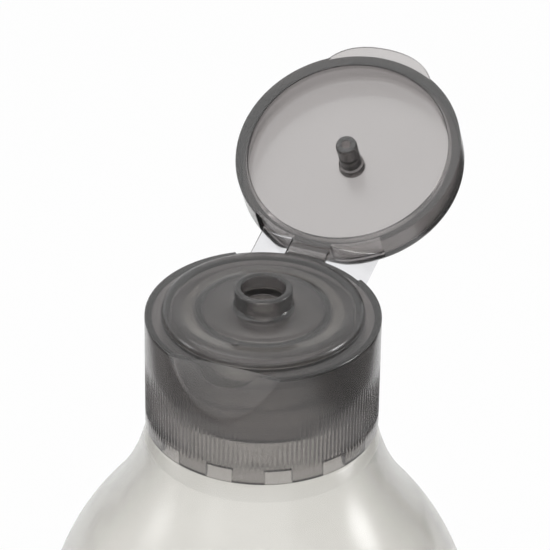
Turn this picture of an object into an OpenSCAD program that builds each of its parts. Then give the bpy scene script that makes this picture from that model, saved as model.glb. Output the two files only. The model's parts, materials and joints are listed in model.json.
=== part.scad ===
// Round squeeze bottle with a screw closure whose lid hinges on two butterfly webs.
// Millimetres, +Z up, origin at the middle of the base, thumb tab to -Y, hinge to +Y.
// The lid stands open at the angle below.

/* [Bottle] */
// Outer diameter of the body
body_d = 54; // [52:0.5:60]
// Height of the closure's lower edge above the table
collar_z = 135; // [110:1:170]
// Wall thickness of the blown body
wall = 0.9; // [0.6:0.1:1.2]
// Radius of the rounded heel
heel_r = 5; // [3:0.5:8]
// Rise of the hollow under the base
pushup_h = 2.5; // [1:0.5:4]
// Width of the flat ring that the bottle stands on
stand_w = 2; // [1:0.5:4]

/* [Shoulder] */
// Diameter at the root of the neck
root_d = 27.4; // [26.5:0.1:27.8]
// Lean of the root from upright, in degrees
root_tilt = 14; // [8:1:20]
// Length of the straight root
root_len = 2.4; // [1:0.2:4]
// Steepest lean of the shoulder from upright, in degrees
shoulder_tilt = 38.6; // [34:0.2:44]
// Radius of the hollow curve above the shoulder
hollow_r = 30; // [24:1:34]

/* [Neck] */
// Height of the thread's ridge
thread_h = 0.9; // [0.7:0.05:1.1]
// Bore of the neck
neck_bore = 16; // [15:0.1:17]
// Rise of one turn of thread
thread_pitch = 3.2; // [2.8:0.1:3.6]
// Turns of thread
thread_turns = 1.5; // [1:0.25:2]
// Distance from the neck's rim down to where the thread starts
thread_drop = 2.6; // [2:0.1:4]

/* [Closure] */
// Outer diameter of the closure
cap_d = 28; // [28:0.1:29]
// Height of the ledge that the lid closes on
ledge_h = 15; // [13:0.1:17]
// Wall of the outer skirt
skirt_wall = 0.9; // [0.7:0.05:1]
// Wall of the inner skirt that grips the neck
grip_wall = 1.05; // [0.9:0.05:1.1]
// Outer diameter of the inner skirt, which rises as the raised deck
deck_d = 24; // [23.6:0.1:24]
// Height of the inner skirt's lower edge
grip_z = 4.9; // [3:0.1:7]
// Height of the deck above the ledge
deck_rise = 1.25; // [0.9:0.05:1.5]
// Rounding of the deck's edge
deck_round = 1; // [0.6:0.1:1]
// Depth of the ring groove in the deck
groove_depth = 0.3; // [0.1:0.05:0.4]
// Rounding of the skirt's top edge
skirt_round = 0.3; // [0.2:0.1:0.6]

/* [Spout] */
// Outer diameter of the spout
spout_d = 6.9; // [6.4:0.1:7.6]
// Diameter of its mouth
mouth_d = 5.2; // [4.8:0.1:5.4]
// Height of the spout above the ledge
spout_rise = 3.6; // [2.8:0.1:3.8]
// Diameter of the dosing hole at the foot of the spout
orifice_d = 3.2; // [3.1:0.1:3.8]
// Thickness of the floor around the dosing hole, under the deck's face
orifice_floor = 2; // [1.6:0.1:2.6]

/* [Grip] */
// Number of light windows at the skirt's lower edge
window_count = 12; // [6:1:16]
// Width of one window, in degrees
window_angle = 13.7; // [8:0.1:16]
// Height of one window
window_h = 1.76; // [1:0.02:2.4]
// Skin left over a window
window_skin = 0.35; // [0.25:0.05:0.5]
// Height where the sloping thumb flat runs out
thumb_z = 8.1; // [6:0.1:10]
// Slope of the thumb flat, in degrees from upright
thumb_tilt = 15.5; // [14:0.5:20]

/* [Lid] */
// Outer height of the lid
lid_h = 4.9; // [4.9:0.1:6]
// Radial thickness of the lid's rim
lid_rim = 1.55; // [1.2:0.05:1.6]
// Thickness of the lid's plate
lid_plate = 0.85; // [0.8:0.05:1.2]
// Rounding of the lid's outer edge
lid_round = 1.2; // [0.8:0.1:2.4]
// Rounding inside, between rim and plate
lid_fillet = 0.6; // [0.4:0.1:1.2]
// Step from the rim's snap bead back to the wall behind it
lid_snap = 0.4; // [0.2:0.05:0.4]
// Height of the rim's snap bead
lid_snap_h = 0.8; // [0.6:0.1:1.2]
// Diameter of the sealing pin
pin_d = 2.66; // [2.2:0.02:2.7]
// Reach of the pin past the lid's rim
pin_reach = 1.3; // [1.2:0.1:2.4]
// Reach of the thumb tab past the lid
tab_reach = 1.3; // [0.8:0.1:2]
// Half width of the thumb tab, in degrees
tab_half_angle = 29; // [20:1:34]
// Thickness of the thumb tab
tab_t = 0.6; // [0.6:0.1:1.2]

/* [Hinge] */
// Opening of the lid from closed, in degrees
lid_open = 151; // [120:1:170]
// Distance of the hinge line behind the closure's wall
hinge_out = 0.8; // [0.8:0.05:1.2]
// Width of the middle strap
strap_w = 4.8; // [3.6:0.1:5]
// Thickness of the strap at its bend
strap_t = 0.5; // [0.3:0.05:0.6]
// Distance from the middle to a web's outer edge
web_x = 7.7; // [7:0.1:8.4]
// Height of a web's outer edge below and above the lid's joint
web_fall = 3.5; // [2.8:0.1:3.6]
// Thickness of a web
web_t = 0.3; // [0.2:0.05:0.4]
// Depth of the pockets that the webs fold into
pocket_depth = 0.6; // [0.4:0.05:0.65]

/* [Fits] */
// Gap between the lid's rim and the ledge when closed
lid_gap = 0.15; // [0.1:0.05:0.3]
// Gap between the closure and the bottle's root and rim
seat_gap = 0.25; // [0.15:0.05:0.4]
// Radial gap of the plug in the neck
plug_gap = 0.1; // [0.05:0.01:0.2]
// Radial gap between the thread and the closure's inner skirt
thread_gap = 0.1; // [0.05:0.05:0.3]
// Gap between a hinge piece and the wall beside it
film_gap = 0.06; // [0.03:0.01:0.1]

/* [Hidden] */
$fn = 96;
arc_steps = 14;
past = 0.5;

body_r = body_d / 2;
root_r = root_d / 2;
root_z = collar_z - seat_gap;
hollow_start = [root_r + root_len * sin(root_tilt), root_z - root_len * cos(root_tilt)];
hollow_c = hollow_start + hollow_r * [cos(root_tilt), sin(root_tilt)];
shoulder_start = hollow_c - hollow_r * [cos(shoulder_tilt), sin(shoulder_tilt)];
// Radius that brings the shoulder out to the body, which it meets upright.
shoulder_r = (body_r - shoulder_start[0]) / (1 - cos(shoulder_tilt));
shoulder_c = [body_r - shoulder_r, shoulder_start[1] - shoulder_r * sin(shoulder_tilt)];

deck_r = deck_d / 2;
grip_r = deck_r - grip_wall;
thread_r = grip_r - thread_gap;
neck_r = thread_r - thread_h;
neck_top = collar_z + ledge_h - seat_gap;
bore_r = neck_bore / 2;
rim_round = 0.4;
root_round = 0.6;
neck_fillet = 0.8;

cap_r = cap_d / 2;
ledge_z = collar_z + ledge_h;
deck_z = ledge_z + deck_rise;
ledge_t = 0.9;
groove_land = 0.6;
groove_w = 3.2;
groove_slope = 1.4;
groove_out = deck_r - deck_round - groove_land;
groove_in = groove_out - groove_w;
grip_bead = 0.25;
grip_bead_h = 2;
plug_r = bore_r - plug_gap;
plug_t = 0.7;
plug_h = 2.2;
spout_r = spout_d / 2;
mouth_r = mouth_d / 2;
orifice_r = orifice_d / 2;
spout_top = ledge_z + spout_rise;
well_floor = deck_z - 0.4;
boss_r = orifice_r + 1;
spout_foot = 0.5;
spout_round = 0.25;
gate_r = 0.4;
gate_h = 0.2;
gate_at = (groove_in + groove_out) / 2;

lid_base = ledge_z + lid_gap;
lid_top = lid_base + lid_h;
lid_in_r = cap_r - lid_rim;
lid_wall_r = lid_in_r + lid_snap;
plate_z = lid_top - lid_plate;
pin_r = pin_d / 2;
pin_tip = lid_base - pin_reach;
pin_collar_r = pin_r + 0.25;
pin_collar_h = 1.3;
pin_hole_r = 0.56;
pin_hole_depth = 3;
pin_chamfer = 0.3;
tab_steps = 16;
tab_power = 3.3;

hinge_y = cap_r + hinge_out;
hinge_z = (ledge_z + lid_base) / 2;
strap_x = strap_w / 2;
strap_end = 1.1;
web_in_x = strap_x + 0.2;
web_in_fall = 0.5;
web_steps = 6;
pocket_r = cap_r - pocket_depth;
pocket_margin = 0.5;
pocket_in = asin((strap_x + 0.05) / cap_r);
pocket_out = asin((web_x + pocket_margin) / cap_r);
pocket_h = web_fall + 0.3;
web_r = pocket_r + film_gap + web_t / 2;

smoke = [0.42, 0.4, 0.39, 0.8];
pale = [0.85, 0.84, 0.82, 0.6];

function arc(centre, r, from, to) =
    [for (i = [0 : arc_steps]) let (a = from + (to - from) * i / arc_steps) centre + r * [cos(a), sin(a)]];

// Half outline of the bottle's flank, set in by t, from the neck's root down to the base.
function flank(t) = concat(
    [[root_r, root_z] - t * [cos(root_tilt), sin(root_tilt)]],
    arc(hollow_c, -(hollow_r + t), root_tilt, shoulder_tilt),
    arc(shoulder_c, shoulder_r - t, shoulder_tilt, 0),
    arc([body_r - heel_r, heel_r], heel_r - t, 0, -90)
);

// Half outline of the hollow under the base, raised by t, from the standing ring to the axis.
stand_in_r = body_r - heel_r - stand_w;
dome_r = (stand_in_r * stand_in_r + pushup_h * pushup_h) / (2 * pushup_h);
dome_angle = asin(stand_in_r / dome_r);
function base_hollow(t) = arc([0, pushup_h - dome_r + t], dome_r, 90 - dome_angle, 90);

function turn(points) = [for (i = [len(points) - 1 : -1 : 0]) points[i]];

// Turns a point about the hinge line, from the closed lid to the open one.
function opened(p) = let (y = p[1] - hinge_y, z = p[2] - hinge_z)
    [p[0], hinge_y + y * cos(lid_open) + z * sin(lid_open), hinge_z - y * sin(lid_open) + z * cos(lid_open)];

module bottle_shell() {
    outside = concat(
        [[bore_r, neck_top]],
        arc([neck_r - rim_round, neck_top - rim_round], rim_round, 90, 0),
        arc([neck_r + neck_fillet, root_z + neck_fillet], -neck_fillet, 0, 90),
        arc([root_r - root_round, root_z - root_round], root_round, 90, root_tilt),
        flank(0),
        base_hollow(0)
    );
    inside = concat(
        turn(base_hollow(wall)),
        turn(flank(wall)),
        arc([bore_r + neck_fillet, root_z - wall - neck_fillet], neck_fillet, 90, 180)
    );
    rotate_extrude() polygon(concat(outside, inside));
}

// A ridge with sloping sides that climbs round the neck and fades out at both ends.
module neck_thread() {
    steps = round(24 * thread_turns);
    top = neck_top - thread_drop;
    sunk = 0.4;
    foot = thread_pitch * 0.28;
    crest = thread_pitch * 0.1;
    function fade(i) = min(1, i / 4, (steps - i) / 4) * (thread_r - neck_r);
    points = [for (i = [0 : steps])
        let (a = 360 * thread_turns * i / steps, z = top - thread_pitch * thread_turns * i / steps)
        for (q = [[neck_r - sunk, -foot], [neck_r + fade(i) + 0.01, -crest],
                  [neck_r + fade(i) + 0.01, crest], [neck_r - sunk, foot]])
            [q[0] * cos(-a - 40), q[0] * sin(-a - 40), z + q[1]]];
    sides = [for (i = [0 : steps - 1], k = [0 : 3])
        [4 * i + k, 4 * i + (k + 1) % 4, 4 * i + 4 + (k + 1) % 4, 4 * i + 4 + k]];
    last = 4 * steps;
    polyhedron(points, concat(sides, [[3, 2, 1, 0], [last, last + 1, last + 2, last + 3]]), convexity = 6);
}

module bottle() {
    color(pale) union() {
        bottle_shell();
        neck_thread();
    }
}

module cap_turned() {
    skirt_in = cap_r - skirt_wall;
    under_ledge = ledge_z - ledge_t;
    rotate_extrude() polygon(concat(
        [[cap_r, collar_z]],
        arc([cap_r - skirt_round, ledge_z - skirt_round], skirt_round, 0, 90),
        [[deck_r, ledge_z]],
        arc([deck_r - deck_round, deck_z - deck_round], deck_round, 0, 90),
        [[groove_out, deck_z], [groove_out - groove_slope, deck_z - groove_depth],
         [groove_in + groove_slope / 2, deck_z - groove_depth], [groove_in, deck_z - groove_depth / 2]],
        arc([spout_r + spout_foot, deck_z - groove_depth / 2 + spout_foot], -spout_foot, 90, 0),
        arc([spout_r - spout_round, spout_top - spout_round], spout_round, 0, 90),
        arc([mouth_r + spout_round, spout_top - spout_round], spout_round, 90, 180),
        [[mouth_r, well_floor], [orifice_r, well_floor], [orifice_r, deck_z - orifice_floor],
         [boss_r, deck_z - orifice_floor], [boss_r, ledge_z],
         [plug_r - plug_t, ledge_z], [plug_r - plug_t, ledge_z - plug_h],
         [plug_r - plug_t / 2, ledge_z - plug_h], [plug_r, ledge_z - plug_h / 2], [plug_r, ledge_z],
         [grip_r, ledge_z], [grip_r, collar_z + grip_z],
         [deck_r + grip_bead, collar_z + grip_z], [deck_r + grip_bead, collar_z + grip_z + grip_bead_h],
         [deck_r, collar_z + grip_z + grip_bead_h + grip_bead],
         [deck_r, under_ledge], [skirt_in, under_ledge], [skirt_in, collar_z]]
    ));
}

// Space in front of the thumb flat, set back from it by t.
module thumb_side(t) {
    reach = 2 * cap_r;
    translate([0, -cap_r, collar_z + thumb_z]) rotate([-thumb_tilt, 0, 0])
        translate([-reach / 2, t - reach, -cap_r]) cube([reach, reach, 3 * cap_r]);
}

// The wall behind the thumb flat, which closes the gap between the two skirts.
module thumb_wall() {
    difference() {
        translate([0, 0, collar_z + grip_z + grip_bead_h]) difference() {
            cylinder(r = cap_r, h = ledge_h - grip_z - grip_bead_h - skirt_round);
            translate([0, 0, -past]) cylinder(r = deck_r - past, h = ledge_h);
        }
        translate([-cap_r, 0, collar_z]) cube([2 * cap_r, 2 * cap_r, ledge_h]);
        difference() {
            translate([-cap_r, -2 * cap_r, collar_z - past]) cube([2 * cap_r, 3 * cap_r, 2 * ledge_h]);
            thumb_side(skirt_wall);
        }
    }
}

module windows() {
    for (i = [0 : window_count - 1])
        rotate([0, 0, -90 - window_angle / 2 + 360 * i / window_count])
            rotate_extrude(angle = window_angle)
                translate([cap_r - skirt_wall - past, collar_z - past])
                    square([skirt_wall - window_skin + past, window_h + past]);
}

// One pocket on each side of the strap, between two heights.
module pockets(low, high) {
    for (side = [-1, 1])
        rotate([0, 0, 90 - side * (pocket_in + pocket_out) / 2 - (pocket_out - pocket_in) / 2])
            rotate_extrude(angle = pocket_out - pocket_in)
                translate([pocket_r, low]) square([2 * past, high - low]);
}

module cap_base() {
    color(smoke) union() {
        difference() {
            union() {
                cap_turned();
                thumb_wall();
            }
            difference() {
                thumb_side(0);
                translate([0, 0, ledge_z]) cylinder(r = deck_r + 0.05, h = ledge_h);
            }
            windows();
            pockets(ledge_z - pocket_h, ledge_z + past);
        }
        translate([0, -gate_at, deck_z - groove_depth - gate_h]) cylinder(r = gate_r, h = 2 * gate_h);
    }
}

module lid_turned() {
    rotate_extrude() polygon(concat(
        [[lid_in_r, lid_base], [cap_r, lid_base]],
        arc([cap_r - lid_round, lid_top - lid_round], lid_round, 0, 90),
        [[0, lid_top], [0, pin_tip + pin_hole_depth], [pin_hole_r, pin_tip + pin_hole_depth],
         [pin_hole_r, pin_tip], [pin_r - pin_chamfer, pin_tip], [pin_r, pin_tip + pin_chamfer],
         [pin_r, plate_z - pin_collar_h], [pin_collar_r, plate_z - pin_collar_h + (pin_collar_r - pin_r)],
         [pin_collar_r, plate_z]],
        arc([lid_wall_r - lid_fillet, plate_z - lid_fillet], lid_fillet, 90, 0),
        [[lid_wall_r, lid_base + lid_snap_h + lid_snap], [lid_in_r, lid_base + lid_snap_h]]
    ));
}

module thumb_tab() {
    front = [for (i = [0 : tab_steps])
        let (k = 2 * i / tab_steps - 1, r = cap_r + tab_reach * (1 - pow(abs(k), tab_power)))
        r * [sin(k * tab_half_angle), -cos(k * tab_half_angle)]];
    back = [for (i = [tab_steps : -1 : 0])
        let (k = 2 * i / tab_steps - 1) (cap_r - lid_rim / 2) * [sin(k * tab_half_angle), -cos(k * tab_half_angle)]];
    translate([0, 0, lid_base]) linear_extrude(tab_t) polygon(concat(front, back));
}

module at_open_lid() {
    translate([0, hinge_y, hinge_z]) rotate([-lid_open, 0, 0]) translate([0, -hinge_y, -hinge_z]) children();
}

module flip_lid() {
    color(smoke) at_open_lid() difference() {
        union() {
            lid_turned();
            thumb_tab();
        }
        pockets(lid_base - past, lid_base + pocket_h);
    }
}

module hinge_strap() {
    wall_y = cap_r + film_gap;
    function half(p) = [p[1], p[2]];
    cap_low = [wall_y, ledge_z - strap_end];
    cap_high = [wall_y, ledge_z - film_gap];
    bend_low = [hinge_y, hinge_z - strap_t / 2];
    bend_high = [hinge_y, hinge_z + strap_t / 2];
    lid_high = half(opened([0, wall_y, lid_base + film_gap]));
    lid_low = half(opened([0, wall_y, lid_base + strap_end]));
    color(smoke) translate([strap_x, 0, 0]) rotate([90, 0, -90])
        mirror([1, 0, 0]) linear_extrude(strap_w)
            polygon([cap_low, bend_low, lid_low, lid_high, bend_high, cap_high]);
}

// A thin ruled sheet between the skirt's wall and the open lid's wall.
module hinge_web(side) {
    function at(k, fall) = let (x = web_in_x + (web_x - web_in_x) * k) [x, sqrt(web_r * web_r - x * x), fall];
    function fall(k) = web_in_fall + (web_fall - web_in_fall) * k;
    cap_edge = [for (i = [0 : web_steps]) let (k = i / web_steps) at(k, ledge_z - fall(k))];
    lid_edge = [for (i = [0 : web_steps]) let (k = i / web_steps) opened(at(k, lid_base + fall(k)))];
    across = cross(cap_edge[web_steps] - cap_edge[0], lid_edge[0] - cap_edge[0]);
    half = across / norm(across) * web_t / 2;
    n = web_steps + 1;
    points = concat([for (p = cap_edge) p - half], [for (p = lid_edge) p - half],
                    [for (p = cap_edge) p + half], [for (p = lid_edge) p + half]);
    strip = [for (i = [0 : web_steps - 1]) each [[i, i + 1, n + i + 1], [i, n + i + 1, n + i]]];
    rim = concat([for (i = [0 : web_steps]) i], [for (i = [web_steps : -1 : 0]) n + i]);
    edge = [for (i = [0 : 2 * n - 1]) let (a = rim[i], b = rim[(i + 1) % (2 * n)]) [b, a, a + 2 * n, b + 2 * n]];
    color([0.9, 0.9, 0.9, 0.5]) mirror([side < 0 ? 1 : 0, 0, 0])
        polyhedron(points, concat(strip, [for (f = strip) [f[2], f[1], f[0]] + 2 * n * [1, 1, 1]], edge));
}

module hinge_web_left() {
    hinge_web(-1);
}

module hinge_web_right() {
    hinge_web(1);
}

bottle();
cap_base();
flip_lid();
hinge_strap();
hinge_web_left();
hinge_web_right();
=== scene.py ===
"""Dresses the packed flip-top bottle in moulded plastics and sets it in a plain pale studio.

Every piece is built in metres in the frame's own place. Azimuths are in degrees, 0 at the thumb
flat (-Y) and growing towards +X, so 180 is the hinge.
"""

import json
import math

import bmesh
import bpy
import numpy as np
from bpy.props import FloatProperty, FloatVectorProperty, IntProperty, PointerProperty
from mathutils import Matrix, Vector


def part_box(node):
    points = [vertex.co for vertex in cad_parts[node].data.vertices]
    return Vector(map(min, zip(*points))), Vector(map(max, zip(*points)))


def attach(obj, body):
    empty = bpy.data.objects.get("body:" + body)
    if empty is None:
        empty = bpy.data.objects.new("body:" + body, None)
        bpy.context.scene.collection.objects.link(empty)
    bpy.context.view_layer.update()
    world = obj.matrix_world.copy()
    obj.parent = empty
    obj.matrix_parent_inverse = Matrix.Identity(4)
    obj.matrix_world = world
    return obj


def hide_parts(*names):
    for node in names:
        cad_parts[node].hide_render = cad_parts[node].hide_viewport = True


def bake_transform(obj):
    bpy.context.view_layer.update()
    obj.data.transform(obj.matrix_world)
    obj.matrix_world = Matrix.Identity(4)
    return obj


bl_info = {
    "name": "Flip-top squeeze bottle",
    "version": (1, 0, 0),
    "blender": (4, 5, 0),
    "location": "3D View > Sidebar > Bottle",
    "description": "Builds a see-through squeeze bottle and its hinged closure, piece by piece",
    "category": "Object",
}

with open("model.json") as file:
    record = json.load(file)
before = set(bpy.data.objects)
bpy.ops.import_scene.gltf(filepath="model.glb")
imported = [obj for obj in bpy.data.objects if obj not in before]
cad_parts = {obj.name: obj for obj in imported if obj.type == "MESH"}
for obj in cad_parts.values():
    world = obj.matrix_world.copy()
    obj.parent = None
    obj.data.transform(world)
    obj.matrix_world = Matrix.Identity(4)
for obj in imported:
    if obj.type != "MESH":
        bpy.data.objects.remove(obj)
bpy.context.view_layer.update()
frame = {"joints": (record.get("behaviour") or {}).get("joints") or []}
MM = 0.001

BOTTLE_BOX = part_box("bottle")
CAP_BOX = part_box("cap_base")
HINGE = next(j for j in frame["joints"] if j["name"] == "lid_hinge")
HINGE_Y, HINGE_Z = HINGE["pos_m"][1:]
LID_OPEN = max(HINGE["range_deg"])

CAP_R = CAP_BOX[1].x
COLLAR_Z = CAP_BOX[0].z
BODY_R = BOTTLE_BOX[1].x
NECK_TOP = BOTTLE_BOX[1].z
SPOUT_TOP = CAP_BOX[1].z

# Bevel of the skirt's lower edge.
EDGE = 0.08 * MM
# Usual rounding of a small moulded corner.
SOFT = 0.15 * MM
# Rise over which a wall steps in, at a window or a pocket.
STEP = 0.02 * MM
# Room that a pocket leaves past its web.
POCKET_ROOM = 0.3 * MM
# Height over which the ribs reach their full depth.
RIB_RUN_IN = 0.25 * MM
# Degrees from the front by which the thumb flat has run out.
FLAT_REACH = 60


def length(name, millimetres, words):
    """A size that a user can change, kept in metres."""
    return FloatProperty(name=name, description=words, default=millimetres * MM, unit="LENGTH",
                         precision=5)


def angle(name, degrees, words):
    """An angle that a user can change, kept in radians."""
    return FloatProperty(name=name, description=words, default=math.radians(degrees),
                         subtype="ANGLE")


def linear(word):
    """The linear colour of an sRGB hex value, with full alpha."""
    parts = [int(word[i:i + 2], 16) / 255 for i in (1, 3, 5)]
    curve = [c / 12.92 if c <= 0.04045 else ((c + 0.055) / 1.055) ** 2.4 for c in parts]
    return (*curve, 1.0)


def colour(name, word, words):
    """A colour that a user can change."""
    return FloatVectorProperty(name=name, description=words, default=linear(word), size=4,
                               subtype="COLOR")


class BottleSizes(bpy.types.PropertyGroup):
    """Sizes of the blow-moulded bottle."""
    wall: length("Wall", 0.9, "Thickness of the blown wall")
    heel: length("Heel", 5, "Radius of the rounded heel")
    pushup: length("Push-up", 2.5, "Rise of the hollow under the base")
    stand: length("Standing ring", 2, "Width of the flat ring that the bottle stands on")
    root_r: length("Root radius", 13.7, "Radius at the root of the neck")
    root_tilt: angle("Root lean", 14, "Lean of the root from upright")
    root_len: length("Root length", 2.4, "Length of the straight root")
    lean: angle("Shoulder lean", 38.6, "Steepest lean of the shoulder from upright")
    hollow: length("Hollow radius", 30, "Radius of the hollow curve above the shoulder")
    neck_r: length("Neck radius", 9.95, "Radius of the neck between its threads")
    bore_r: length("Bore radius", 8, "Radius of the neck's bore")
    thread_h: length("Thread height", 0.9, "Height of the thread's ridge")
    pitch: length("Thread pitch", 3.2, "Rise of one turn of thread")
    thread_drop: length("Thread start", 2.6, "Distance from the rim down to the thread")
    turns: FloatProperty(name="Thread turns", description="Turns of thread", default=1.5)
    seat: length("Seat gap", 0.25, "Gap between the closure's edge and the root")


class ClosureSizes(bpy.types.PropertyGroup):
    """Sizes of the screw closure."""
    wall: length("Skirt wall", 0.9, "Wall of the outer skirt")
    ledge_h: length("Ledge height", 15, "Height of the ledge that the lid closes on")
    ledge_t: length("Ledge thickness", 0.9, "Thickness of the ledge")
    deck_r: length("Deck radius", 12, "Outer radius of the inner skirt, which rises as the deck")
    deck_rise: length("Deck rise", 1.25, "Height of the deck above the ledge")
    deck_round: length("Deck rounding", 1, "Rounding of the deck's edge")
    grip_wall: length("Inner skirt wall", 1.05, "Wall of the inner skirt that grips the neck")
    grip_z: length("Inner skirt edge", 4.9, "Height of the inner skirt's lower edge")
    bead: length("Grip bead", 0.25, "Thickness of the bead round the inner skirt")
    bead_h: length("Bead height", 2, "Height of the bead")
    groove_land: length("Groove land", 0.6, "Flat between the deck's rounding and its groove")
    groove_w: length("Groove width", 3.2, "Width of the ring groove in the deck")
    groove_slope: length("Groove slope", 1.4, "Run of the groove's outer slope")
    groove_depth: length("Groove depth", 0.3, "Depth of the ring groove")
    spout_r: length("Spout radius", 3.45, "Outer radius of the spout")
    mouth_r: length("Mouth radius", 2.6, "Radius of the spout's mouth")
    orifice_r: length("Dosing hole radius", 1.6, "Radius of the hole at the foot of the spout")
    orifice_t: length("Dosing floor", 2, "Thickness of the floor around the hole")
    plug_r: length("Plug radius", 7.9, "Outer radius of the plug ring in the neck")
    plug_t: length("Plug wall", 0.7, "Wall of the plug ring")
    plug_h: length("Plug length", 2.2, "Length of the plug ring")
    round: length("Top rounding", 0.3, "Rounding of the skirt's top edge")
    ribs: IntProperty(name="Ribs", description="Number of fine grip ribs round the skirt",
                      default=156, min=12)
    rib_depth: length("Rib depth", 0.17, "Depth of the grooves between ribs")
    rib_low: length("Rib start", 1.9, "Height where the ribs start")
    rib_high: length("Rib end", 9.6, "Height where the ribs fade out")
    windows: IntProperty(name="Windows", description="Number of thin windows at the lower edge",
                         default=12, min=1)
    window_angle: angle("Window width", 13.7, "Width of a window, round the skirt")
    window_h: length("Window height", 1.76, "Height of a window")
    window_skin: length("Window skin", 0.35, "Skin left over a window")
    thumb_z: length("Thumb flat", 8.1, "Height where the sloping thumb flat runs out")
    thumb_tilt: angle("Thumb slope", 15.5, "Slope of the thumb flat from upright")


class LidSizes(bpy.types.PropertyGroup):
    """Sizes of the flip lid."""
    gap: length("Lid gap", 0.15, "Gap between the closed lid and the ledge")
    height: length("Lid height", 4.9, "Outer height of the lid")
    rim: length("Rim", 1.55, "Radial thickness of the rim")
    plate: length("Plate", 0.85, "Thickness of the plate")
    round: length("Outer rounding", 1.2, "Rounding of the outer edge")
    snap: length("Snap bead", 0.4, "Step from the rim's snap bead back to the wall behind it")
    snap_h: length("Snap bead height", 0.8, "Height of the rim's snap bead")
    fillet: length("Inner rounding", 0.6, "Rounding between rim and plate")
    pin_r: length("Pin radius", 1.33, "Radius of the sealing pin")
    pin_reach: length("Pin reach", 1.3, "Reach of the pin past the rim")
    collar: length("Pin collar", 0.25, "Step of the collar at the pin's foot")
    collar_h: length("Collar height", 1.3, "Height of the pin's collar")
    hole_r: length("Tip hole radius", 0.56, "Radius of the hole in the pin's tip")
    hole_depth: length("Tip hole depth", 3, "Depth of the hole in the pin's tip")
    tab: length("Thumb tab", 1.3, "Reach of the thumb tab past the lid")
    tab_t: length("Tab thickness", 0.6, "Thickness of the thumb tab")
    tab_half: angle("Tab half width", 29, "Half width of the thumb tab, round the lid")


class HingeSizes(bpy.types.PropertyGroup):
    """Sizes of the film hinge and its two webs."""
    strap_w: length("Strap width", 4.8, "Width of the middle strap")
    strap_t: length("Strap bend", 0.5, "Thickness of the strap at its bend")
    strap_end: length("Strap foot", 1.1, "Height of the strap's foot on each wall")
    web_x: length("Web reach", 7.7, "Distance from the middle to a web's outer edge")
    web_fall: length("Web fall", 3.5, "Height of a web's outer edge from the joint")
    web_t: length("Web thickness", 0.3, "Thickness of a web")
    pocket: length("Pocket depth", 0.6, "Depth of the pockets that the webs fold into")
    margin: length("Pocket margin", 0.5, "Width of a pocket past its web's outer edge")
    film: length("Film gap", 0.06, "Gap between a hinge piece and its wall")


class FinishColours(bpy.types.PropertyGroup):
    """Colours and densities of the plastics and the stage."""
    smoke: colour("Smoke tint", "#8D8483", "Colour that the smoke plastic lets through")
    smoke_density: FloatProperty(name="Smoke density", default=950,
                                 description="Light lost per metre of smoke plastic")
    bloom: colour("Smoke bloom", "#EEECEB", "Colour of the faint cloud in the smoke plastic")
    natural: colour("Natural tint", "#D9D6CC", "Colour that the bottle's plastic lets through")
    natural_density: FloatProperty(name="Natural density", default=60,
                                   description="Light lost per metre of bottle wall")
    haze: colour("Haze", "#FAF9F6", "Colour of the cloudy part of the bottle's plastic")
    film: colour("Film tint", "#E9E9EB", "Colour of the smoke plastic where it is drawn thin")
    floor: colour("Floor", "#F4F4F4", "Colour of the floor")


def arc(centre, radius, start, end, steps):
    """Points on an arc, with angles in radians."""
    a = np.linspace(start, end, steps + 1)
    return np.column_stack([centre[0] + radius * np.cos(a), centre[1] + radius * np.sin(a)])


def rounded(corners, steps=4):
    """An open outline through (r, z, radius) corners, each rounded by its own radius."""
    spots = [np.array(c[:2], float) for c in corners]
    radii = [c[2] for c in corners[1:-1]]
    nearly_straight = math.radians(88)
    out = [spots[0]]
    for before, here, after, radius in zip(spots, spots[1:], spots[2:], radii):
        u = (before - here) / np.linalg.norm(before - here)
        v = (after - here) / np.linalg.norm(after - here)
        half = math.acos(np.clip(u @ v, -1, 1)) / 2
        if radius <= 0 or half > nearly_straight:
            out.append(here)
            continue
        reach = radius / math.tan(half)
        centre = here + (u + v) / np.linalg.norm(u + v) * radius / math.sin(half)
        first, last = here + u * reach - centre, here + v * reach - centre
        sweep = math.acos(np.clip(first @ last / radius ** 2, -1, 1))
        for k in range(steps + 1):
            part = k / steps
            spoke = math.sin((1 - part) * sweep) * first + math.sin(part * sweep) * last
            out.append(centre + spoke / math.sin(sweep))
    out.append(spots[-1])
    return np.array(out)


def columns(count, ends=()):
    """Azimuths all round in degrees: count even ones, and a close pair at each of the ends."""
    half_pair = 0.03
    even = -180 + 360 * np.arange(count) / count
    pairs = [e + d for e in ends for d in (-half_pair, half_pair)]
    return np.array(sorted(set(np.round(np.concatenate([even, pairs]), 6))))


def turned(outline, azimuth):
    """Radii and heights of one outline, as a row of each for every azimuth."""
    return [np.tile(outline[:, i], (len(azimuth), 1)) for i in (0, 1)]


def placed(azimuth, r, z):
    """Points at azimuths in degrees, radii and heights, all of one shape."""
    a = np.radians(azimuth)
    return np.stack([r * np.sin(a), -r * np.cos(a), z], axis=-1)


def grid_faces(across, along, offset=0, closed=True):
    """Quads of a grid that runs round the axis: across columns of along points each."""
    faces = []
    for c in range(across):
        here, after = offset + c * along, offset + (c + 1) % across * along
        for i in range(along if closed else along - 1):
            j = (i + 1) % along
            faces.append((here + i, after + i, after + j, here + j))
    return faces


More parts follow.
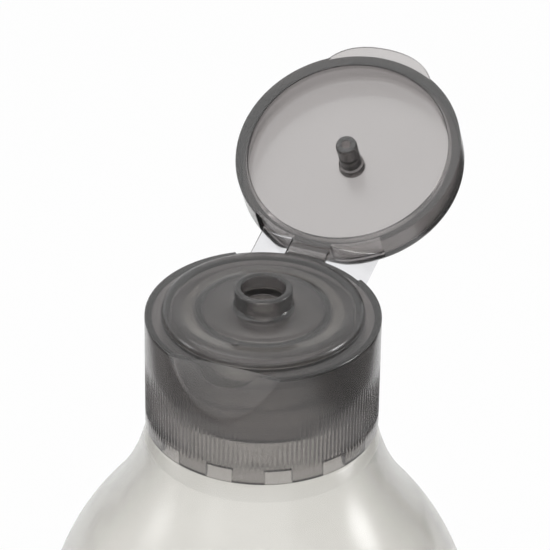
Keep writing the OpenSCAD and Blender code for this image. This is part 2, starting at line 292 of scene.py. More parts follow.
def new_piece(name, points, faces, material):
    """A mesh object of these points and faces, with doubled points merged and hard edges sharp."""
    doubled, sliver, crease = 0.002 * MM, 0.0005 * MM, math.radians(35)
    mesh = bpy.data.meshes.new(name)
    mesh.from_pydata(np.asarray(points, float).reshape(-1, 3).tolist(), [], faces)
    work = bmesh.new()
    work.from_mesh(mesh)
    bmesh.ops.remove_doubles(work, verts=work.verts, dist=doubled)
    bmesh.ops.dissolve_degenerate(work, edges=work.edges, dist=sliver)
    bmesh.ops.recalc_face_normals(work, faces=work.faces)
    work.to_mesh(mesh)
    work.free()
    mesh.shade_smooth()
    mesh.set_sharp_from_angle(angle=crease)
    mesh.materials.append(material)
    piece = bpy.data.objects.new(name, mesh)
    bpy.context.scene.collection.objects.link(piece)
    return piece


def add(tree, kind, inputs=None, **attributes):
    """Adds one node: its attributes, and for each input a value or the socket that feeds it."""
    node = tree.nodes.new(kind)
    for name, value in attributes.items():
        setattr(node, name, value)
    for socket, value in (inputs or {}).items():
        if isinstance(value, bpy.types.NodeSocket):
            tree.links.new(value, node.inputs[socket])
        else:
            node.inputs[socket].default_value = value
    return node


def blank_material(name):
    """The node material of this name, made or emptied, with its nodes and its output."""
    material = bpy.data.materials.get(name) or bpy.data.materials.new(name)
    material.use_nodes = True
    tree = material.node_tree
    tree.nodes.clear()
    return material, tree, add(tree, "ShaderNodeOutputMaterial")


def white_seen(tree):
    """1 for a ray that looks, straight, off gloss or through plastic, and 0 for one of light."""
    rays = add(tree, "ShaderNodeLightPath").outputs
    seen = rays["Is Camera Ray"]
    for looking in ("Is Transmission Ray", "Is Glossy Ray"):
        seen = add(tree, "ShaderNodeMath", {0: seen, 1: rays[looking]},
                   operation="MAXIMUM").outputs[0]
    return seen


def smoke_polypropylene():
    """Clarified polypropylene with a grey smoke tint, injection-moulded in a polished tool.

    The tint is in the depth of the plastic, so a rim looks dark and a thin window pale, and the
    polished tool leaves a gloss with a faint waviness where the melt flowed and shrank.
    """
    flow_size, grain_size = 3 * MM, 0.25 * MM
    tints = bpy.context.scene.finish_colours
    material, tree, out = blank_material("smoke_polypropylene_moulded")
    spot = add(tree, "ShaderNodeTexCoord").outputs["Object"]
    flow = add(tree, "ShaderNodeTexNoise", {
        "Vector": spot, "Scale": 1 / flow_size, "Detail": 2.0}).outputs["Fac"]
    grain = add(tree, "ShaderNodeTexNoise", {
        "Vector": spot, "Scale": 1 / grain_size, "Detail": 3.0}).outputs["Fac"]
    rough = add(tree, "ShaderNodeMapRange", {"Value": flow, "To Min": 0.16, "To Max": 0.24})
    waves = add(tree, "ShaderNodeBump", {"Height": flow, "Strength": 0.2, "Distance": 0.02 * MM})
    skin = add(tree, "ShaderNodeBump", {
        "Height": grain, "Normal": waves.outputs["Normal"],
        "Strength": 0.08, "Distance": 0.01 * MM})
    plastic = add(tree, "ShaderNodeBsdfPrincipled", {
        "Base Color": tints.bloom, "Roughness": rough.outputs["Result"], "IOR": 1.49,
        "Transmission Weight": 0.95, "Normal": skin.outputs["Normal"]})
    tint = add(tree, "ShaderNodeVolumeAbsorption", {
        "Color": tints.smoke, "Density": tints.smoke_density})
    tree.links.new(plastic.outputs["BSDF"], out.inputs["Surface"])
    tree.links.new(tint.outputs["Volume"], out.inputs["Volume"])
    return material


def smoke_film():
    """The same polypropylene where it is drawn thin: hardly any tint is left, only gloss."""
    pull_size = 1.2 * MM
    tints = bpy.context.scene.finish_colours
    material, tree, out = blank_material("smoke_polypropylene_film")
    spot = add(tree, "ShaderNodeTexCoord").outputs["Object"]
    pull = add(tree, "ShaderNodeTexNoise", {
        "Vector": spot, "Scale": 1 / pull_size, "Detail": 2.0}).outputs["Fac"]
    rough = add(tree, "ShaderNodeMapRange", {"Value": pull, "To Min": 0.06, "To Max": 0.14})
    waves = add(tree, "ShaderNodeBump", {"Height": pull, "Strength": 0.3, "Distance": 0.04 * MM})
    film = add(tree, "ShaderNodeBsdfPrincipled", {
        "Base Color": tints.film, "Roughness": rough.outputs["Result"], "IOR": 1.49,
        "Transmission Weight": 1.0, "Normal": waves.outputs["Normal"]})
    tree.links.new(film.outputs["BSDF"], out.inputs["Surface"])
    return material


def natural_polyethylene():
    """Uncoloured polyethylene, extrusion blow-moulded: cloudy in depth, satin on the outside.

    The blown wall scatters light, so what is behind shows only as soft tones, and the tool's
    fine blasting with slow swells in the wall softens every highlight.
    """
    swell_size, blast_size = 14 * MM, 0.3 * MM
    tints = bpy.context.scene.finish_colours
    material, tree, out = blank_material("natural_polyethylene_blown")
    spot = add(tree, "ShaderNodeTexCoord").outputs["Object"]
    swell = add(tree, "ShaderNodeTexNoise", {
        "Vector": spot, "Scale": 1 / swell_size, "Detail": 2.0}).outputs["Fac"]
    blast = add(tree, "ShaderNodeTexNoise", {
        "Vector": spot, "Scale": 1 / blast_size, "Detail": 3.0}).outputs["Fac"]
    rough = add(tree, "ShaderNodeMapRange", {"Value": blast, "To Min": 0.2, "To Max": 0.26})
    waves = add(tree, "ShaderNodeBump", {"Height": swell, "Strength": 0.4, "Distance": 0.4 * MM})
    skin = add(tree, "ShaderNodeBump", {
        "Height": blast, "Normal": waves.outputs["Normal"],
        "Strength": 0.05, "Distance": 0.01 * MM})
    plastic = add(tree, "ShaderNodeBsdfPrincipled", {
        "Base Color": tints.haze, "Roughness": rough.outputs["Result"], "IOR": 1.5,
        "Transmission Weight": 0.92, "Normal": skin.outputs["Normal"]})
    tint = add(tree, "ShaderNodeVolumeAbsorption", {
        "Color": tints.natural, "Density": tints.natural_density})
    tree.links.new(plastic.outputs["BSDF"], out.inputs["Surface"])
    tree.links.new(tint.outputs["Volume"], out.inputs["Volume"])
    return material


def backdrop_paper():
    """Matt backdrop paper, white to the eye, off gloss and through plastic, that keeps shadows."""
    white_share = 0.9
    tints = bpy.context.scene.finish_colours
    material, tree, out = blank_material("backdrop_paper_matt")
    paper = add(tree, "ShaderNodeBsdfDiffuse", {"Color": tints.floor}).outputs[0]
    white = add(tree, "ShaderNodeEmission", {"Color": (1, 1, 1, 1), "Strength": 1.0}).outputs[0]
    bright = add(tree, "ShaderNodeMixShader", {0: white_share, 1: paper, 2: white}).outputs[0]
    shown = add(tree, "ShaderNodeMixShader", {0: white_seen(tree), 1: paper, 2: bright})
    tree.links.new(shown.outputs[0], out.inputs["Surface"])
    return material


def studio_card(name, shade):
    """Matt card of a dull shade, which takes the glare off the side of a glossy piece."""
    material, tree, out = blank_material(name + "_matt")
    card = add(tree, "ShaderNodeBsdfDiffuse", {"Color": linear(shade)})
    tree.links.new(card.outputs[0], out.inputs["Surface"])
    return material


def flank(sizes, inset):
    """Half outline of the bottle's flank, set in by inset, from the neck's root to the heel."""
    root = np.array([sizes.root_r, COLLAR_Z - sizes.seat])
    tilt, lean = sizes.root_tilt, sizes.lean
    hollow_start = root + sizes.root_len * np.array([math.sin(tilt), -math.cos(tilt)])
    hollow_centre = hollow_start + sizes.hollow * np.array([math.cos(tilt), math.sin(tilt)])
    shoulder_start = hollow_centre - sizes.hollow * np.array([math.cos(lean), math.sin(lean)])
    shoulder_r = (BODY_R - shoulder_start[0]) / (1 - math.cos(lean))
    shoulder_centre = (BODY_R - shoulder_r, shoulder_start[1] - shoulder_r * math.sin(lean))
    side_top, side_foot, rows = shoulder_centre[1], sizes.heel, 8
    side = [(BODY_R - inset, side_top + (side_foot - side_top) * k / rows) for k in range(1, rows)]
    return np.vstack([
        [root - inset * np.array([math.cos(tilt), math.sin(tilt)])],
        arc(hollow_centre, sizes.hollow + inset, math.pi + tilt, math.pi + lean, 20),
        arc(shoulder_centre, shoulder_r - inset, lean, 0, 24)[1:],
        side,
        arc((BODY_R - sizes.heel, sizes.heel), sizes.heel - inset, 0, -math.pi / 2, 10)])


def base_hollow(sizes, rise):
    """Half outline of the hollow under the base, raised by rise, from its ring to the axis."""
    reach = BODY_R - sizes.heel - sizes.stand
    radius = (reach ** 2 + sizes.pushup ** 2) / (2 * sizes.pushup)
    start = math.acos(reach / radius)
    return arc((0, sizes.pushup - radius + rise), radius, start, math.pi / 2, 14)


def bottle_outline(sizes, neck_rows):
    """Outline of the bottle's wall, from the bore's top over the rim and all round to the bore.

    It comes with the part of it that is the threaded side of the neck, neck_rows points long.
    """
    root_z = COLLAR_Z - sizes.seat
    lip, neck_foot, shelf = 0.4 * MM, root_z + 0.8 * MM, root_z - sizes.wall
    rim = rounded([(sizes.bore_r, root_z + 2 * MM, 0), (sizes.bore_r, NECK_TOP, lip),
                   (sizes.neck_r, NECK_TOP, lip), (sizes.neck_r, NECK_TOP - lip, 0)])[1:-1]
    neck = np.column_stack([np.full(neck_rows, sizes.neck_r),
                            np.linspace(NECK_TOP - lip, neck_foot, neck_rows)])
    seat = rounded([(sizes.neck_r, neck_foot, 0), (sizes.neck_r, root_z, 0.75 * MM),
                    (sizes.root_r - 0.05 * MM, root_z, 0.6 * MM), (*flank(sizes, 0)[1], 0)])[1:-1]
    inside = np.vstack([base_hollow(sizes, sizes.wall)[::-1], flank(sizes, sizes.wall)[::-1]])
    throat = rounded([(*inside[-2], 0), (sizes.bore_r + 2.6 * MM, shelf, 1 * MM),
                      (sizes.bore_r, shelf, 0.8 * MM), (sizes.bore_r, root_z + 1.9 * MM, 0)])[:-1]
    outline = np.vstack([rim, neck, seat, flank(sizes, 0)[1:], base_hollow(sizes, 0),
                         inside[:-2], throat])
    return outline, slice(len(rim), len(rim) + neck_rows)


def bottle_mesh(sizes):
    """Points and faces of the bottle: a turned wall with a climbing ridge of thread on its neck."""
    neck_rows = 96
    outline, neck = bottle_outline(sizes, neck_rows)
    azimuth = columns(288)
    r, z = turned(outline, azimuth)
    # The thread starts 40 degrees past +X and falls clockwise, seen from above.
    start, top = 130, NECK_TOP - sizes.thread_drop
    crest, foot = 0.1 * sizes.pitch, 0.28 * sizes.pitch
    ridge = np.zeros((len(azimuth), neck_rows))
    for turn in range(int(sizes.turns) + 2):
        done = turn + ((start - azimuth) % 360) / 360
        off = np.abs(z[:, neck] - (top - sizes.pitch * done)[:, None])
        # It rises at its start, and runs out at its end, over a sixth of a turn.
        ends = np.clip(np.minimum(done, sizes.turns - done) * 6, 0, 1)[:, None]
        ridge = np.maximum(ridge, np.clip((foot - off) / (foot - crest), 0, 1) * ends)
    r[:, neck] += sizes.thread_h * ridge * ridge * (3 - 2 * ridge)
    return placed(azimuth[:, None], r, z), grid_faces(len(azimuth), len(outline))


def thumb_plane(sizes, azimuth, z, depth):
    """Radius at which the thumb flat, moved in by depth, lies at each azimuth and height.

    Where an azimuth hardly faces the front, the radius is one that never cuts the closure.
    """
    fall = ((z - COLLAR_Z - sizes.thumb_z) * math.tan(sizes.thumb_tilt)
            + depth / math.cos(sizes.thumb_tilt))
    facing, least = np.cos(np.radians(azimuth)), 0.3
    return np.where(facing > least, (CAP_R - fall) / np.maximum(facing, least), 2 * CAP_R)


def pocket_span(hinge):
    """Degrees from the hinge's middle to the near and far end of a pocket."""
    ends = (hinge.strap_w / 2 + 0.05 * MM, hinge.web_x + hinge.margin)
    return [math.degrees(math.asin(e / CAP_R)) for e in ends]


def pocket_ends(hinge):
    """Azimuths of the ends of both pockets."""
    return [s * (180 - e) for e in pocket_span(hinge) for s in (-1, 1)]


def in_pocket(hinge, azimuth):
    """True where an azimuth lies over one of the two pockets beside the hinge strap."""
    near, far = pocket_span(hinge)
    off = np.abs(180 - np.abs(azimuth))
    return (off > near) & (off < far)


def rib_groove(sizes, azimuth, z):
    """Depth of the grip grooves at each azimuth and height."""
    fade_out = 5 * MM
    height = z - COLLAR_Z
    fade = (np.clip((height - sizes.rib_low) / RIB_RUN_IN, 0, 1)
            * np.clip((sizes.rib_high - height) / fade_out, 0, 1))
    wave = 0.5 - 0.5 * np.cos(np.radians(azimuth * sizes.ribs))
    return sizes.rib_depth * wave ** 1.5 * fade


def gap_ceiling(sizes, azimuth):
    """Height of the ceiling of the gap between the skirts, which sinks behind the thumb flat."""
    level = COLLAR_Z + sizes.ledge_h - sizes.ledge_t
    gap_in = (sizes.deck_r + 0.06 * MM) * np.cos(np.radians(azimuth))
    run = CAP_R - sizes.wall / math.cos(sizes.thumb_tilt) - gap_in
    behind = COLLAR_Z + sizes.thumb_z + run / math.tan(sizes.thumb_tilt)
    return np.where(np.abs(azimuth) < FLAT_REACH, np.minimum(behind, level), level)


def skirt_inside(sizes, azimuth):
    """Radii and heights down the outer skirt's inner face, over the windows and under its edge."""
    ceiling, window_top = gap_ceiling(sizes, azimuth)[:, None], COLLAR_Z + sizes.window_h
    z = ceiling + (window_top - ceiling) * np.linspace(0, 1, 14)
    r = np.minimum(CAP_R - sizes.wall, thumb_plane(sizes, azimuth[:, None], z, sizes.wall))
    off = np.abs((azimuth * sizes.windows / 360 + 0.5) % 1 - 0.5) * 360 / sizes.windows
    over_window = off < math.degrees(sizes.window_angle) / 2
    thin = np.where(over_window, CAP_R - sizes.window_skin, CAP_R - sizes.wall)[:, None]
    lip_r = np.hstack([thin, thin, thin + EDGE])
    lip_z = np.broadcast_to([window_top - STEP, COLLAR_Z + EDGE, COLLAR_Z], lip_r.shape)
    return np.hstack([r, lip_r]), np.hstack([z, lip_z])


def skirt_outside(sizes, hinge, azimuth):
    """Radii and heights up the outer face, to the thumb flat's outline and on over the flat."""
    low, ribs_z, ledge_z = COLLAR_Z + EDGE, COLLAR_Z + sizes.rib_low, COLLAR_Z + sizes.ledge_h
    top_z, pocket_z = ledge_z - sizes.round, ledge_z - hinge.web_fall - POCKET_ROOM
    heights = np.concatenate([np.linspace(low, ribs_z, 4),
                              np.linspace(ribs_z + RIB_RUN_IN, pocket_z - STEP, 20),
                              np.linspace(pocket_z + STEP, top_z, 6)])
    bulge = CAP_R * (1 - np.cos(np.radians(azimuth)))
    crease = COLLAR_Z + sizes.thumb_z + bulge / math.tan(sizes.thumb_tilt)
    crease = np.where(np.abs(azimuth) < FLAT_REACH, np.minimum(crease, top_z), top_z)[:, None]
    below = low + (heights - low) * (crease - low) / (top_z - low)
    above = crease + (top_z - crease) * np.linspace(0, 1, 10)[1:]
    z, a = np.hstack([below, above]), azimuth[:, None]
    r = np.minimum(CAP_R - rib_groove(sizes, a, z), thumb_plane(sizes, a, z, 0))
    sunk = in_pocket(hinge, a) & (z > pocket_z)
    r = np.where(sunk, np.minimum(r, CAP_R - hinge.pocket), r)
    foot_r, foot_z = (np.full((len(azimuth), 1), value) for value in (CAP_R - EDGE, COLLAR_Z))
    return np.hstack([foot_r, r]), np.hstack([foot_z, z])


def skirt_top(sizes, hinge, azimuth):
    """Radii and heights over the top edge and the ledge, up to the end of the deck's rounding."""
    ledge_z = COLLAR_Z + sizes.ledge_h
    deck_z = ledge_z + sizes.deck_rise
    over = rounded([(CAP_R, ledge_z - sizes.round, 0), (CAP_R, ledge_z, sizes.round),
                    (sizes.deck_r, ledge_z, 0.1 * MM), (sizes.deck_r, deck_z, sizes.deck_round),
                    (sizes.deck_r - sizes.deck_round, deck_z, 0)], 6)[1:-1]
    r, z = turned(over, azimuth)
    a = azimuth[:, None]
    on_deck = r < sizes.deck_r + EDGE
    r = np.where(on_deck, r, np.minimum(r, thumb_plane(sizes, a, z, 0)))
    return np.where(in_pocket(hinge, a), np.minimum(r, CAP_R - hinge.pocket), r), z


def middle_outline(sizes):
    """Outline from the deck's groove over the spout and under the deck to the inner skirt's top."""
    ledge_z = COLLAR_Z + sizes.ledge_h
    deck_z = ledge_z + sizes.deck_rise
    groove_out = sizes.deck_r - sizes.deck_round - sizes.groove_land
    groove_in = groove_out - sizes.groove_w
    low, half = deck_z - sizes.groove_depth, deck_z - sizes.groove_depth / 2
    mouth_z, hole_z = deck_z - 0.4 * MM, deck_z - sizes.orifice_t
    hole_rim = sizes.orifice_r + 1 * MM
    plug_in, plug_foot = sizes.plug_r - sizes.plug_t, ledge_z - sizes.plug_h
    grip_in, grip_foot = sizes.deck_r - sizes.grip_wall, COLLAR_Z + sizes.grip_z
    bead_r, bead_top = sizes.deck_r + sizes.bead, grip_foot + sizes.bead_h
    return rounded([
        (groove_out + 0.15 * MM, deck_z, 0), (groove_out, deck_z, 0.3 * MM),
        (groove_out - sizes.groove_slope, low, 0.8 * MM),
        (groove_in + sizes.groove_slope / 2, low, 0.3 * MM), (groove_in, half, 0.25 * MM),
        (sizes.spout_r, half, 0.5 * MM), (sizes.spout_r, SPOUT_TOP, 0.3 * MM),
        (sizes.mouth_r, SPOUT_TOP, 0.3 * MM), (sizes.mouth_r, mouth_z, SOFT),
        (sizes.orifice_r, mouth_z, SOFT), (sizes.orifice_r, hole_z, 0.1 * MM),
        (hole_rim, hole_z, SOFT), (hole_rim, ledge_z, SOFT),
        (plug_in, ledge_z, SOFT), (plug_in, plug_foot, 0.08 * MM),
        (sizes.plug_r - sizes.plug_t / 2, plug_foot, SOFT),
        (sizes.plug_r, ledge_z - sizes.plug_h / 2, 0.6 * MM), (sizes.plug_r, ledge_z, SOFT),
        (grip_in, ledge_z, 0.3 * MM), (grip_in, grip_foot, SOFT),
        (bead_r, grip_foot, SOFT), (bead_r, bead_top, 0.2 * MM),
        (sizes.deck_r, bead_top + sizes.bead, 0.2 * MM),
        (sizes.deck_r, ledge_z - sizes.ledge_t, 0)], 3)


def closure_mesh(sizes, hinge):
    """Points and faces of the closure: a fine skirt and deck edge, and a plainer middle."""
    window = math.degrees(sizes.window_angle) / 2
    window_ends = [(360 * i / sizes.windows + s * window + 180) % 360 - 180
                   for i in range(sizes.windows) for s in (-1, 1)]
    azimuth = columns(6 * sizes.ribs, window_ends + pocket_ends(hinge))
    parts = [skirt_inside(sizes, azimuth), skirt_outside(sizes, hinge, azimuth),
             skirt_top(sizes, hinge, azimuth)]
    skirt_r, skirt_z = (np.hstack([part[i] for part in parts]) for i in (0, 1))
    along = skirt_r.shape[1]
    skirt = placed(azimuth[:, None], skirt_r, skirt_z).reshape(-1, 3)
    faces = grid_faces(len(azimuth), along, closed=False)

    # The middle has a sixth of the columns: deck, spout, plug and inner skirt. The inner skirt's
    # outer face has a few rows more, and reaches up to the ceiling of the gap.
    outline, rows = middle_outline(sizes), 5
    low, top = outline[-2], outline[-1]
    middle = np.vstack([outline[:-1], [low + (top - low) * k / rows for k in range(1, rows + 1)]])
    coarse = columns(sizes.ribs)
    spot = np.searchsorted(azimuth, coarse - 1e-4)
    middle_r, middle_z = turned(middle, coarse)
    ceiling = gap_ceiling(sizes, azimuth)[spot][:, None]
    raised = (middle[-rows:, 1] - low[1]) * (ceiling - low[1]) / (top[1] - low[1])
    middle_z[:, -rows:] = low[1] + raised
    offset, count = len(skirt), len(middle)
    faces += grid_faces(len(coarse), count, offset, closed=False)

    # Flat rings join the two: on the deck's top, and as the gap's ceiling.
    for c in range(len(coarse)):
        after = (c + 1) % len(coarse)
        stop = spot[after] if after else len(azimuth)
        fine = [k % len(azimuth) for k in range(spot[c], stop + 1)]
        here, there = offset + c * count, offset + after * count
        faces.append([k * along + along - 1 for k in fine] + [there, here])
        faces.append([k * along for k in reversed(fine)] + [here + count - 1, there + count - 1])
    inner = placed(coarse[:, None], middle_r, middle_z).reshape(-1, 3)
    return np.vstack([skirt, inner]), faces


def opened(points):
    """Turns points of the closed lid about the hinge's line to where the lid stands open."""
    turn = np.array(Matrix.Rotation(math.radians(-LID_OPEN), 3, "X"))
    pivot = np.array([0, HINGE_Y, HINGE_Z])
    return (np.asarray(points) - pivot) @ turn.T + pivot


def lid_inside(sizes, base, top):
    """Outline of the closed lid's inside, from the hole in the pin's tip out to the rim's edge."""
    plate_z, tip, pin_r = top - sizes.plate, base - sizes.pin_reach, sizes.pin_r
    slim_r = pin_r - 0.12 * MM
    collar_r, collar_z = pin_r + sizes.collar, plate_z - sizes.collar_h
    snap_r, snap_z = CAP_R - sizes.rim, base + sizes.snap_h
    wall_r = snap_r + sizes.snap
    return rounded([
        (0, top, 0), (0, tip + sizes.hole_depth, 0),
        (sizes.hole_r, tip + sizes.hole_depth, 0.1 * MM), (sizes.hole_r, tip, 0.08 * MM),
        # The tip's ring, a slim waist and a second ring.
        (slim_r, tip, 0.12 * MM), (pin_r, tip + 0.35 * MM, 0.2 * MM),
        (pin_r, tip + 1.75 * MM, SOFT), (slim_r, tip + 2 * MM, SOFT),
        (slim_r, tip + 2.3 * MM, SOFT), (pin_r, tip + 2.55 * MM, SOFT),
        (pin_r, collar_z, 0.12 * MM), (collar_r, collar_z + sizes.collar, SOFT),
        (collar_r, plate_z, 0.25 * MM), (wall_r, plate_z, sizes.fillet),
        (wall_r, snap_z + sizes.snap, SOFT), (snap_r, snap_z, SOFT),
        (snap_r, base, SOFT), (CAP_R - 0.2 * MM, base, 0)], 5)


def lid_mesh(sizes, hinge, closure):
    """Points and faces of the lid: a turned cup with a pin, a thumb tab and two hinge pockets."""
    base = COLLAR_Z + closure.ledge_h + sizes.gap
    top, tab_top = base + sizes.height, base + sizes.tab_t
    tab_edge = 0.15 * sizes.tab_t
    tab = [(CAP_R, z) for z in (base, base + tab_edge, tab_top - tab_edge, tab_top, tab_top)]
    wall = [(CAP_R, z) for z in np.linspace(tab_top + 0.05 * MM, top - sizes.round, 5)]
    crown = arc((CAP_R - sizes.round, top - sizes.round), sizes.round, 0, math.pi / 2, 16)[1:]
    spokes = [(k * (CAP_R - sizes.round) / 5, top) for k in (4, 3, 2, 1)]
    outline = np.vstack([tab, wall, crown, spokes, lid_inside(sizes, base, top)])
    azimuth = columns(360, pocket_ends(hinge))
    r, z = turned(outline, azimuth)
    # The tab's plan is a flat curve, and its upper and lower edges are drawn in a little.
    k = np.clip(np.abs(azimuth) / math.degrees(sizes.tab_half), 0, 1)
    reach = sizes.tab * (1 - k ** 3.3)
    drawn_in = 0.1 * MM * (k < 1)
    r[:, 0] += reach - drawn_in
    r[:, 1:3] += reach[:, None]
    r[:, 3] += reach - drawn_in
    outer = slice(0, len(tab) + len(wall) + len(crown))
    sunk = in_pocket(hinge, azimuth[:, None]) & (z[:, outer] < base + hinge.web_fall + POCKET_ROOM)
    r[:, outer] = np.where(sunk, np.minimum(r[:, outer], CAP_R - hinge.pocket), r[:, outer])
    points = opened(placed(azimuth[:, None], r, z).reshape(-1, 3))
    return points, grid_faces(len(azimuth), len(outline))


def web_mesh(sizes, closure, lid, side):
    """Points and faces of one web: a thin sheet ruled between the skirt's pocket and the lid's."""
    ledge_z = COLLAR_Z + closure.ledge_h
    near_x, near_fall = sizes.strap_w / 2 + 0.2 * MM, 0.5 * MM
    reach = CAP_R - sizes.pocket + sizes.film + sizes.web_t / 2
    x = np.linspace(near_x, sizes.web_x, 16)
    fall = np.interp(x, [near_x, sizes.web_x], [near_fall, sizes.web_fall])
    y = np.sqrt(reach ** 2 - x ** 2)
    low = np.column_stack([side * x, y, ledge_z - fall])
    high = opened(np.column_stack([side * x, y, ledge_z + lid.gap + fall]))
    rows, n = 8, len(x)
    part = np.linspace(0, 1, rows)[:, None, None]
    sheet = low[None] * (1 - part) + high[None] * part
    across = np.cross(sheet[0, -1] - sheet[0, 0], sheet[-1, -1] - sheet[0, 0])
    half = across / np.linalg.norm(across) * sizes.web_t / 2
    # The film is thinnest at its middle fold.
    thin = (0.55 + 0.45 * np.abs(2 * part - 1)) * half
    both = np.concatenate([(sheet - thin).reshape(-1, 3), (sheet + thin).reshape(-1, 3)])
    count, faces = rows * n, []
    for i in range(rows - 1):
        for k in range(n - 1):
            quad = (i * n + k, i * n + k + 1, (i + 1) * n + k + 1, (i + 1) * n + k)
            faces += [quad, tuple(q + count for q in reversed(quad))]
    rim = list(range(n)) + [i * n + n - 1 for i in range(1, rows)]
    rim += [(rows - 1) * n + k for k in range(n - 2, -1, -1)]
    rim += [i * n for i in range(rows - 2, 0, -1)]
    for p, q in zip(rim, rim[1:] + rim[:1]):
        faces.append((q, p, p + count, q + count))
    return both, faces


def bent_line(start, middle, end, steps=8):
    """A smooth line from start to end that passes through middle."""
    pull = 2 * middle - (start + end) / 2
    t = np.linspace(0, 1, 2 * steps + 1)[:, None]
    return (1 - t) ** 2 * start + 2 * t * (1 - t) * pull + t ** 2 * end


def strap_mesh(sizes, closure, lid):
    """Points and faces of the strap: a short band, thin at its bend and thick at both feet."""
    ledge_z, wall_y = COLLAR_Z + closure.ledge_h, CAP_R + sizes.film
    base, bend = ledge_z + lid.gap, sizes.strap_t / 2
    feet = np.array([[0, wall_y, ledge_z - sizes.strap_end], [0, wall_y, ledge_z - sizes.film]])
    ends = opened([[0, wall_y, base + sizes.strap_end], [0, wall_y, base + sizes.film]])
    bends = np.array([[0, HINGE_Y, HINGE_Z - bend], [0, HINGE_Y, HINGE_Z + bend]])
    low, high = (bent_line(feet[i], bends[i], ends[i]) for i in (0, 1))
    loop = np.vstack([low, high[::-1]])
    middle, half = loop.mean(0), sizes.strap_w / 2
    # The band's long edges are rounded: its end loops are drawn in a little.
    drawn_in, spots, points = 0.93, np.linspace(-half, half, 9), []
    for x in spots:
        at_end = abs(x) > half - 0.01 * MM
        ring = middle + (loop - middle) * (drawn_in if at_end else 1)
        ring[:, 0] = x
        points.append(ring)
    n, last = len(loop), len(spots) - 1
    faces = [(c * n + i, c * n + (i + 1) % n, (c + 1) * n + (i + 1) % n, (c + 1) * n + i)
             for c in range(last) for i in range(n)]
    faces += [tuple(reversed(range(n))), tuple(range(last * n, (last + 1) * n))]
    return np.vstack(points), faces


def gate_mesh(sizes):
    """Points and faces of the gate mark: a small stub left where the mould was fed."""
    stub_r, hollow_r, sunk, soft = 0.4 * MM, 0.15 * MM, 0.7 * MM, 0.05 * MM
    low = COLLAR_Z + sizes.ledge_h + sizes.deck_rise - sizes.groove_depth
    foot, hollow, top = low - sunk, low + 0.05 * MM, low + 0.2 * MM
    outline = rounded([(0, foot, 0), (stub_r, foot, soft), (stub_r, top, 0.1 * MM),
                       (hollow_r, hollow, soft), (0, hollow, 0)])
    azimuth = columns(32)
    r, z = turned(outline, azimuth)
    at = sizes.deck_r - sizes.deck_round - sizes.groove_land - sizes.groove_w / 2
    points = placed(azimuth[:, None], r, z) - np.array([0, at, 0])
    return points, grid_faces(len(azimuth), len(outline))


